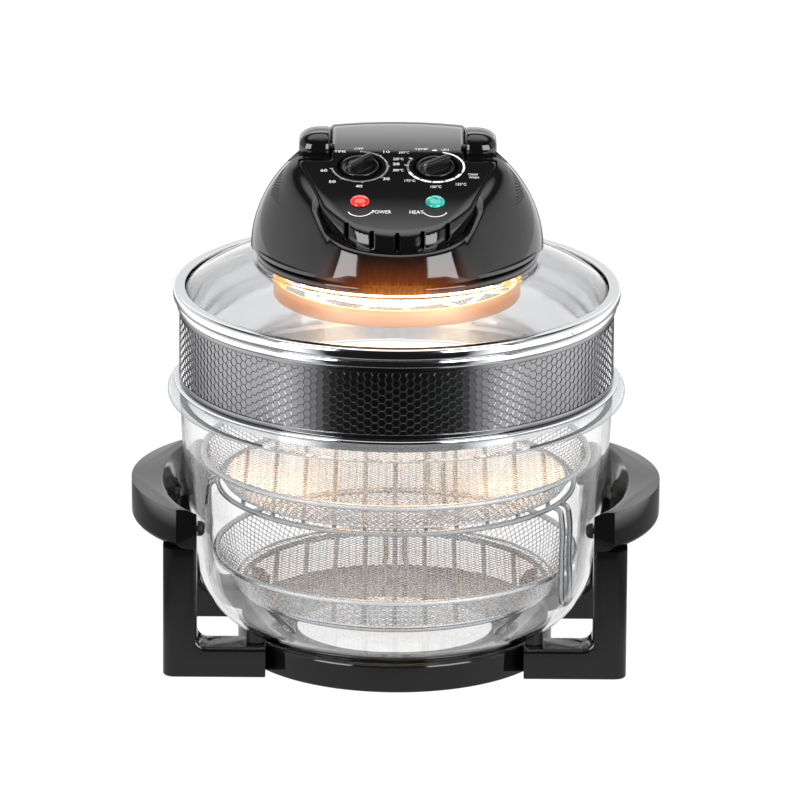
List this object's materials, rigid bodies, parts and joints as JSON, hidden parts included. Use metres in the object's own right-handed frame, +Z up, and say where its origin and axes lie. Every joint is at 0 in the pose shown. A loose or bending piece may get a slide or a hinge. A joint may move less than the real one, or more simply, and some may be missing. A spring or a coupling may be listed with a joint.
{
  "type": "halogen oven",
  "caption": "Countertop halogen oven: round glass bowl on a four-legged stand, black extender band, lift-off glass lid with heating head, dials and a swinging handle.",
  "frame": {"origin": "on the ground below the middle of the bowl", "axes": "+Z up, -Y towards the front where the dials face, +X to the right seen from the front"},
  "size_m": [0.388, 0.3332, 0.3872],
  "materials": {
    "gloss_black": "black heat-resisting plastic, polished moulding",
    "satin_black": "black plastic, satin moulding",
    "embossed_black": "steel band with a black heat-proof coat, honeycomb embossed",
    "rubber": "black silicone rubber",
    "glass": "clear tempered glass, fire polished",
    "quartz": "clear quartz tube over a glowing filament",
    "red_lens": "clear red plastic, polished",
    "green_lens": "clear green plastic, polished",
    "chrome": "polished stainless steel and chromed wire",
    "steel": "plain steel sheet and wire",
    "aluminium": "pressed aluminium sheet",
    "ceramic": "cream steatite ceramic, matt"
  },
  "bodies": {
    "stand": {"base_ring": "gloss_black", "front_left_leg": "gloss_black", "front_left_bumper": "rubber", "front_left_bowl_pad": "rubber", "front_right_leg": "gloss_black", "front_right_bumper": "rubber", "front_right_bowl_pad": "rubber", "rear_left_leg": "gloss_black", "rear_left_bumper": "rubber", "rear_left_bowl_pad": "rubber", "rear_right_leg": "gloss_black", "rear_right_bumper": "rubber", "rear_right_bowl_pad": "rubber", "left_grip": "gloss_black", "right_grip": "gloss_black"},
    "bowl": {"glass_bowl": "glass"},
    "low_rack": {"low_rack": "chrome"},
    "lower_basket": {"lower_basket": "steel"},
    "high_rack": {"high_rack": "chrome"},
    "upper_basket": {"upper_basket": "steel"},
    "extender": {"extender_ring": "chrome", "extender_sleeve": "embossed_black"},
    "lid": {"lid_rim": "chrome", "lid_glass": "glass", "skirt_ring": "gloss_black", "dome_housing": "gloss_black", "upper_cover": "gloss_black", "heater_pan": "steel", "halogen_tube": "quartz", "left_tube_holder": "ceramic", "right_tube_holder": "ceramic", "guard_ring": "steel", "guard_grille": "steel", "guard_bracket_1": "steel", "guard_bracket_2": "steel", "guard_bracket_3": "steel", "motor_bridge": "steel", "fan_motor": "steel", "timer_body": "satin_black", "thermostat_body": "satin_black", "power_lens": "red_lens", "power_neon": "quartz", "heat_lens": "green_lens", "heat_neon": "quartz", "left_handle_pin": "steel", "right_handle_pin": "steel", "interlock_switch": "satin_black", "cord_gland": "rubber"},
    "handle": {"carry_handle": "gloss_black"},
    "plunger": {"interlock_plunger": "ceramic"},
    "timer_dial": {"timer_knob": "satin_black", "timer_spindle": "steel"},
    "thermostat_dial": {"thermostat_knob": "satin_black", "thermostat_spindle": "steel"},
    "fan": {"fan_shaft": "steel", "convection_fan": "aluminium", "cooling_fan": "satin_black"}
  },
  "joints": [
    {"name": "bowl_lift", "type": "slide", "parent": "stand", "child": "bowl", "axis": [0, 0, 1], "range_m": [0, 0.15]},
    {"name": "low_rack_lift", "type": "slide", "parent": "bowl", "child": "low_rack", "axis": [0, 0, 1], "range_m": [0, 0.04]},
    {"name": "lower_basket_lift", "type": "slide", "parent": "low_rack", "child": "lower_basket", "axis": [0, 0, 1], "range_m": [0, 0.04]},
    {"name": "high_rack_lift", "type": "slide", "parent": "bowl", "child": "high_rack", "axis": [0, 0, 1], "range_m": [0, 0.11]},
    {"name": "upper_basket_lift", "type": "slide", "parent": "high_rack", "child": "upper_basket", "axis": [0, 0, 1], "range_m": [0, 0.11]},
    {"name": "extender_lift", "type": "slide", "parent": "bowl", "child": "extender", "axis": [0, 0, 1], "range_m": [0, 0.15]},
    {"name": "lid_lift", "type": "slide", "parent": "extender", "child": "lid", "axis": [0, 0, 1], "range_m": [0, 0.15]},
    {"name": "handle_swing", "type": "hinge", "parent": "lid", "child": "handle", "pos_m": [0, 0.014, 0.376], "axis": [1, 0, 0], "range_deg": [0, 90]},
    {"name": "plunger_travel", "type": "slide", "parent": "lid", "child": "plunger", "axis": [0, 0, 1], "range_m": [0, 0.003]},
    {"name": "timer_turn", "type": "hinge", "parent": "lid", "child": "timer_dial", "pos_m": [-0.0276, -0.0125, 0.36847], "axis": [0, 0.2857, -0.9583], "range_deg": [-46, 214]},
    {"name": "thermostat_turn", "type": "hinge", "parent": "lid", "child": "thermostat_dial", "pos_m": [0.0276, -0.0125, 0.36847], "axis": [0, 0.2857, -0.9583], "range_deg": [-235, 65]},
    {"name": "fan_spin", "type": "hinge", "parent": "lid", "child": "fan", "pos_m": [0, 0, 0.31], "axis": [0, 0, 1], "continuous": true}
  ],
  "couplings": [
    {"joint": "plunger_travel", "follows": "handle_swing", "m_per_rad": 0.0019099}
  ]
}
